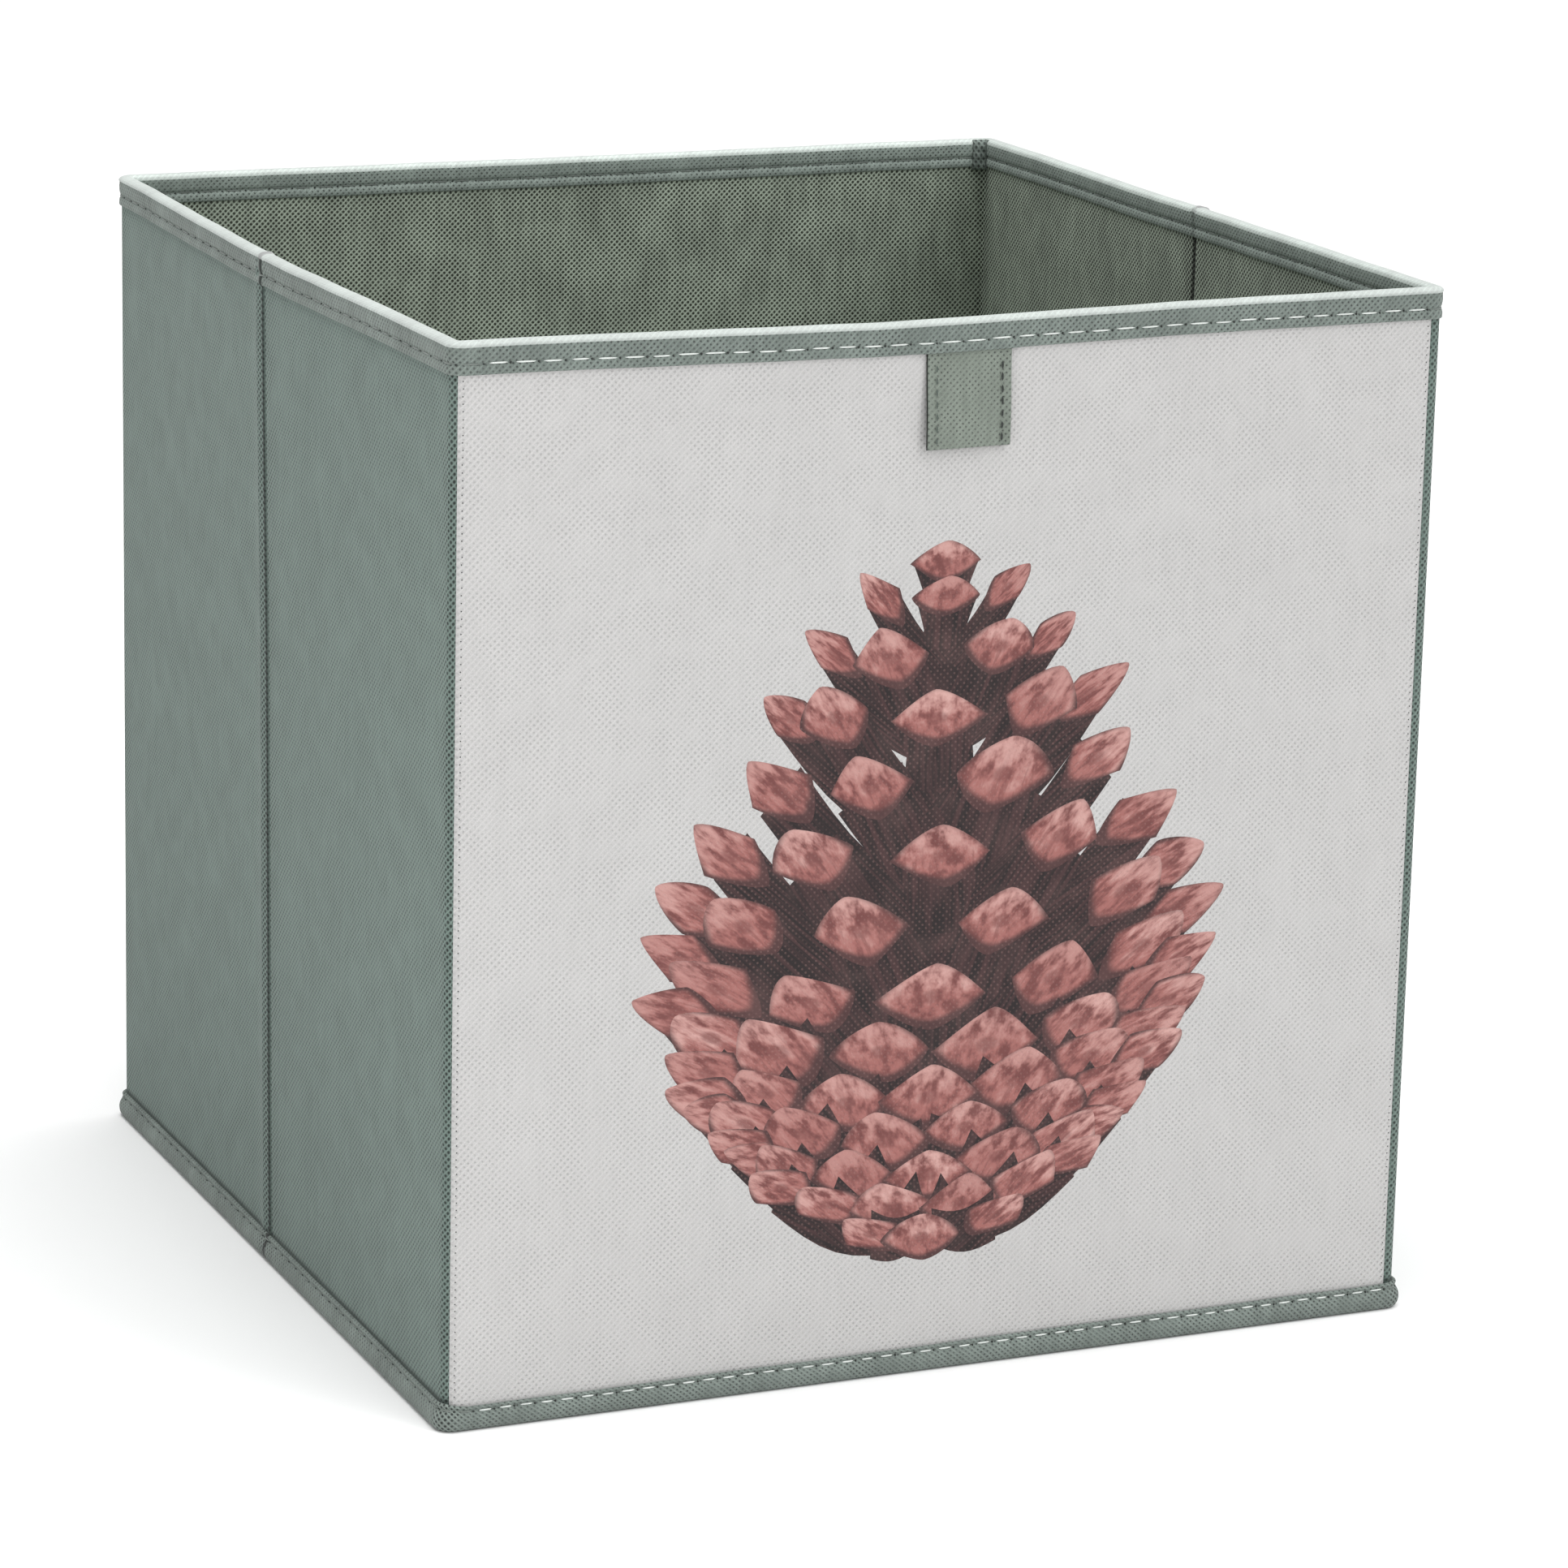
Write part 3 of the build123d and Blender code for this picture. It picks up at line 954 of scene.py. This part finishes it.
def rim_loop():
    """The rim binding: a tape over the top edge, drawn in along its stitch lines."""
    outside = [(0.10, -10.0), (0.36, -9.7), (0.40, -8.6), (0.22, -7.6), (-0.18, -6.9), (0.12, -6.1),
               (0.34, -4.8), (0.34, -3.4), (0.26, -2.3), (0.52, -1.9), (0.42, -1.35), (-0.15, -0.85)]
    crown = [(-1.0, -0.55), (-2.0, -0.45), (-3.05, -0.6), (-3.85, -1.2)]
    inside = [(-4.25, -2.4), (-4.25, -4.8), (-4.1, -6.0), (-3.66, -6.8), (-4.05, -7.6), (-4.25, -8.6),
              (-4.15, -9.6), (-3.95, -10.0)]
    line = through([(out * MM, RIM_TOP + rise * MM) for out, rise in outside + crown + inside], 3)
    return cloth_loop(line, PLY, 1)


def over_tab(x, y, z):
    """Lifts the rim binding's lower edge over the pull tab."""
    if y < -RIM_FACE + 1.2 * MM and z < RIM_TOP - 5 * MM:
        beside = smooth((16.5 * MM - abs(x)) / (3.0 * MM))
        y -= 0.75 * MM * beside * smooth((RIM_TOP - 5 * MM - z) / (3 * MM))
    return x, y, z


def rim_extra(x, y, z):
    """What the sweep leaves out of the rim binding: the lift over the tab and the pinch at the side creases."""
    x, y, z = over_tab(x, y, z)
    if abs(x) > RIM_FACE - 1.6 * MM and abs(y) < 8 * MM:
        stand = 0.45 * MM if x < 0 else 0.0
        pinch = stand * bell(abs(y) - 1.7 * MM, 1.0 * MM)
        pinch -= 1.0 * MM * bell(y, 0.45 * MM)
        x += math.copysign(pinch, x)
    if abs(x) > CORNER_START and z > RIM_TOP - 2.5 * MM:
        z += 0.45 * MM * bell(y - 1.2 * MM, 1.4 * MM)
    return x, y, z


def rim_binding():
    """The tape over the top edge. Returns its ring."""
    ring = Ring(RIM_FACE, 4.3 * MM)
    # Painted light on the binding's inner side.
    swept_ring("rim_binding_cloth", ring, rim_loop(), TAPE, "binding_nonwoven", RIM_DEPTH, RIM_TAPE,
               walls_only("rim_binding"), extra=rim_extra, tight=0.35, bright_inside=0.9)
    rim_overlap(ring)
    return ring


def rim_overlap(ring):
    """Where the rim binding's ends overlap, bunched up, on the inner side of the rear right corner."""
    path = [(-3.9, -0.9), (-4.45, -1.7), (-4.75, -3.0), (-4.6, -4.6), (-4.85, -6.2), (-4.6, -7.6), (-4.8, -9.2),
            (-4.5, -10.4), (-4.1, -10.6)]
    loop = cloth_loop(through([(out * MM, RIM_TOP + rise * MM) for out, rise in path], 3), PLY, -1)
    start, end = ring.s(1, ring.straight / 2 - 1.2 * MM), ring.s(2, -ring.straight / 2 + 4.6 * MM)
    steps = 24
    points, cloth, marks = [], [], []
    for k in range(steps + 1):
        t = k / steps
        s = start + (end - start) * t
        inside = 0.55 * MM * math.sin(math.pi * t) ** 0.4
        for i, (out, z) in enumerate(loop):
            crumple = 0.35 * MM * noise.noise((t * 5.0, z * 420, 2.6))
            place, _ = ring.at(s, out + 0.5 * MM - inside + crumple, z)
            points.append(settle(place))
            cloth.append((s, i * 0.4 * MM, 0.0))
            # Large dots, and painted light that grows toward the middle of the bunch.
            marks.append((0.8, 0.5 * (1 - math.sin(math.pi * t) ** 0.5) - 0.5, 0.0))
    shape = Shape()
    shape.add(points, tube_faces(steps + 1, len(loop)), cloth, marks=marks)
    piece = shape.object("rim_binding_overlap", [TAPE], "binding_nonwoven")
    attach(piece, next(section for section in SECTIONS if section[0] == "rear_right_corner"), RIM_DEPTH)


def base_loop():
    """The base binding: a fat rolled tape round the foot, with a narrow lip above its stitch line."""
    path = [(-2.75, 7.9), (-2.35, 8.75), (-1.60, 9.0), (-1.05, 8.4), (-1.35, 7.2), (-0.75, 6.1), (-0.15, 4.7),
            (0.0, 3.2), (-0.30, 1.6), (-1.1, 0.45), (-2.1, 0.0), (-3.1, 0.25), (-3.55, 1.4), (-3.6, 4.4),
            (-3.6, 7.6)]
    line = through([(out * MM, z * MM) for out, z in path], 3)
    return cloth_loop(line, PLY, -1)


def base_extra(x, y, z):
    """The base binding's height: a little lower along the front, most at its left, and with slow waves."""
    share = 0.94
    if y < -CORNER_START:
        share = 0.74 + 0.14 * smooth(x / (2 * BASE_FACE) + 0.5)
        share += (0.94 - share) * smooth((abs(x) - CORNER_START) / (8 * MM))
    share += 0.035 * noise.noise((x * 40, y * 40, 3.0))
    low = 2.5 * MM
    return x, y, z if z < low else low + (z - low) * share


def base_binding():
    """The rolled tape round the foot. Returns its ring."""
    ring = Ring(BASE_FACE, 6.0 * MM)
    swept_ring("base_binding_cloth", ring, base_loop(), TAPE, "binding_nonwoven", BASE_DEPTH, BASE_TAPE,
               walls_only("base_binding"), extra=base_extra)
    return ring


def boards():
    """The stiffener boards, which the fabrics hide, bowed as the walls are."""
    ring = Ring(BOARD_FACE, 1.5 * MM)
    loop = flat_loop(BOARD_BOTTOM, BOARD_TOP, 24, 1.9 * MM)
    for body, wall, sign in (("front", 0, 1), ("right_front", 1, 1), ("right_rear", 1, 1), ("rear", 2, -1),
                             ("left_rear", 3, -1), ("left_front", 3, -1)):
        low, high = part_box(body + "_board")
        span = (low.x, high.x) if wall in (0, 2) else (low.y, high.y)
        first, last = sorted(sign * value for value in span)
        gap = 0.8 * MM
        if "_" in body:
            first = gap if abs(first) < gap else first
            last = -gap if abs(last) < gap else last
        shape = swept(ring, ring.s(wall, first), ring.s(wall, last), loop)
        piece = shape.object(body + "_board_sheet", [GREYBOARD], "stiffener_board")
        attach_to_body(piece, body)
        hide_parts(body + "_board")


# ---------------------------------------------------------------- stitching

def bead_on_ring(shape, ring, places, out, z, side, extra, radius, kind):
    """A bead through places along the ring, on the settled cloth. side is 1 on the outer face and -1 inside."""
    line, normals = [], []
    for s in places:
        point, normal = ring.at(s, out, z)
        line.append(settle(extra(*point)))
        normals.append(normal * side)
    bead(shape, line, normals, radius, kind=kind)


def ring_stitches(word, ring, out, z, length, pitch, side, threads, depth, seed, extra):
    """A row of stitches round a binding, with a needle hole after each, in one piece for each section."""
    chance = random.Random(seed)
    first = ring.s(3, C) - ring.length
    shapes = {section[0]: Shape() for section in SECTIONS}
    spans = {section[0]: (ring.s(*section[2]), ring.s(*section[3])) for section in SECTIONS}
    count = round(ring.length / pitch)
    step = ring.length / count
    for number in range(count):
        middle = first + (number + 0.5) * step
        stretch = length * chance.uniform(0.90, 1.06)
        height = z + chance.uniform(-0.15, 0.15) * MM
        if middle < spans["front"][0]:
            middle += ring.length
        name = next((n for n, (a, b) in spans.items() if a <= middle <= b), "right_rear")
        kind = threads.get(name, COLOURED)
        places = [middle + stretch * (k / 6 - 0.5) for k in range(7)]
        bead_on_ring(shapes[name], ring, places, out, height, side, extra, 0.24 * MM, kind)
        # A near-black bead paints the shade in the needle hole.
        hole = middle + stretch / 2 + 0.7 * MM
        places = [hole + (k - 1) * 0.55 * MM for k in range(3)]
        radius = 0.40 * MM if kind == PALE else 0.28 * MM
        bead_on_ring(shapes[name], ring, places, out, height - 0.12 * MM, side, extra, radius, HOLE)
    for section in SECTIONS:
        shape = shapes[section[0]]
        if shape.points:
            materials = [PALE_THREAD, TAPE_THREAD, NEEDLE_HOLE]
            attach(shape.object(f"{section[0]}_{word}", materials, "binding_nonwoven"), section, depth)


def seam_holes():
    """The columns of needle holes beside the upright seams at the front corners, their shade painted as
    near-black beads.
    """
    chance = random.Random(11)
    shape = Shape()
    for x in (PRINT_LEFT + 1.3 * MM, PRINT_RIGHT - 1.2 * MM):
        z = BASE_TOP + 1.5 * MM
        while z < RIM_BOTTOM - 1 * MM:
            point = Vector(front_place(x + chance.uniform(-0.12, 0.12) * MM, z, 0))
            line = [point + Vector((0, 0, d * 0.28 * MM)) for d in (-1, 0, 1)]
            bead(shape, line, [Vector((0, -1, 0))] * 3, 0.20 * MM)
            z += HOLE_PITCH * chance.uniform(0.94, 1.06)
    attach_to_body(shape.object("front_seam_needle_holes", [NEEDLE_HOLE], "printed_nonwoven"), "front")


# ---------------------------------------------------------------- pull tab and floor

def tab_place(x, z, out):
    """A point of the pull tab: tucked under the rim binding at its top, and hanging a little off the wall."""
    top = RIM_BOTTOM + 0.5 * MM
    down = max(0.0, (top - z) / (top - TAB_LOW.z))
    away = 0.15 * MM + 0.9 * MM * smooth(down * 1.4) + 0.9 * MM * down ** 2 * (0.5 - x / (TAB_HIGH.x * 2.2))
    ripple = 0.18 * MM * noise.noise((x * 90, z * 70, 2.0)) * smooth(down * 2)
    bow = settle((x, -OUTER_FACE, z))
    return x, bow[1] - away - ripple - out, bow[2] if z > top else z - 0.3 * MM


def pull_tab():
    """The pull tab: a strip folded double at its lower edge, topstitched along both sides."""
    low, high = TAB_LOW.z + 2.2 * MM, RIM_BOTTOM + 2.6 * MM
    gap = 0.62 * MM
    steps = 22
    back = [(0.0, high + (low - high) * k / steps) for k in range(steps + 1)]
    turn = [(gap / 2 - gap / 2 * math.cos(a), low - gap * 0.6 * math.sin(a)) for a in
            (math.pi * k / 8 for k in range(1, 8))]
    front = [(gap, z) for _, z in reversed(back)]
    loop = cloth_loop(back + turn + front, 0.45 * MM, 1)
    across = graded(TAB_LOW.x, TAB_HIGH.x, (0.4 * MM, 1.5 * MM), 1.5 * MM)
    seam_x = TAB_HIGH.x - 3.0 * MM
    points, cloth, marks = [], [], []
    for x in across:
        press = 0.22 * MM * bell(abs(x) - seam_x, 0.8 * MM)
        for (out, z), v in zip(loop, lengths_along(loop)):
            squeezed = out - press if out > gap / 2 else out
            points.append(tab_place(x, z, squeezed))
            cloth.append((x, v, 0.0))
            # A painted shadow along the tab's left edge.
            marks.append((0.0, 1.0 if x == across[0] else 0.0, 0.0))
    shape = Shape()
    shape.add(points, tube_faces(len(across), len(loop)), cloth, marks=marks)
    tab = shape.object("pull_tab_cloth", [TAB_CLOTH], "binding_nonwoven")
    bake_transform(tab)
    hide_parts("pull_tab")

    tab_stitches(gap + 0.26 * MM, seam_x)


def tab_stitches(out, seam_x):
    """Topstitching along both sides of the pull tab, finer on its left and darker on its right."""
    chance = random.Random(3)
    threads = Shape()
    for x, thick, kind in ((-seam_x, 0.20 * MM, COLOURED), (seam_x, 0.30 * MM, HOLE)):
        z = TAB_LOW.z + 3.2 * MM
        while z < RIM_BOTTOM - 4.6 * MM:
            length = 2.5 * MM * chance.uniform(0.9, 1.1)
            line = [tab_place(x, z + length * k / 4, out) for k in range(5)]
            bead(threads, line, [Vector((0, -1, 0))] * 5, thick, kind=kind)
            z += 3.5 * MM
    materials = [PALE_THREAD, DARK_THREAD, NEEDLE_HOLE]
    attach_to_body(threads.object("pull_tab_stitches", materials, "binding_nonwoven"), "pull_tab")


def fabric_floor():
    """The fabric floor, a little slack, sewn in all round."""
    wide, deep, steps = FLOOR_HIGH.x - FLOOR_LOW.x, FLOOR_HIGH.y - FLOOR_LOW.y, 60
    columns = [FLOOR_LOW.x + wide * k / steps for k in range(steps + 1)]
    rows = [FLOOR_LOW.y + deep * k / steps for k in range(steps + 1)]
    points, cloth = [], []
    for height in (FLOOR_HIGH.z, FLOOR_HIGH.z - PLY):
        for y in rows:
            for x in columns:
                edge = smooth((FLOOR_HIGH.x - max(abs(x), abs(y))) / (30 * MM))
                wave = noise.noise((x * 14, y * 14, 1.3)) + 0.5 * noise.noise((x * 34, y * 34, 5.1))
                points.append((x, y, height + 0.9 * MM * wave * edge))
                cloth.append((x, y, 0.0))
    across = len(columns)
    border = grid_border(across, across)
    edges = zip(border, border[1:] + border[:1])
    shape = Shape()
    shape.add(points, sheet_faces(grid_faces(across, across), edges, across * across), cloth)
    floor = shape.object("floor_sheet_cloth", [LINING_CLOTH], "lining_nonwoven")
    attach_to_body(floor, "front")
    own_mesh(floor)
    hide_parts("floor_sheet")


# ---------------------------------------------------------------- the bin

camera()
studio()
front_fabric()
outer_fabric()
lining()
boards()
rim = rim_binding()
base = base_binding()
front_pale = {"front": PALE}
ring_stitches("rim_outer_stitches", rim, -0.12 * MM, RIM_TOP - 6.9 * MM, RIM_STITCH, RIM_STITCH_PITCH, 1,
              front_pale, RIM_DEPTH, 21, rim_extra)
ring_stitches("rim_inner_stitches", rim, -3.68 * MM, RIM_TOP - 6.8 * MM, RIM_STITCH, RIM_STITCH_PITCH, -1,
              {}, RIM_DEPTH, 22, rim_extra)
ring_stitches("base_stitches", base, -1.32 * MM, 7.2 * MM, BASE_STITCH, BASE_STITCH_PITCH, 1,
              front_pale, BASE_DEPTH, 23, base_extra)
seam_holes()
pull_tab()
fabric_floor()
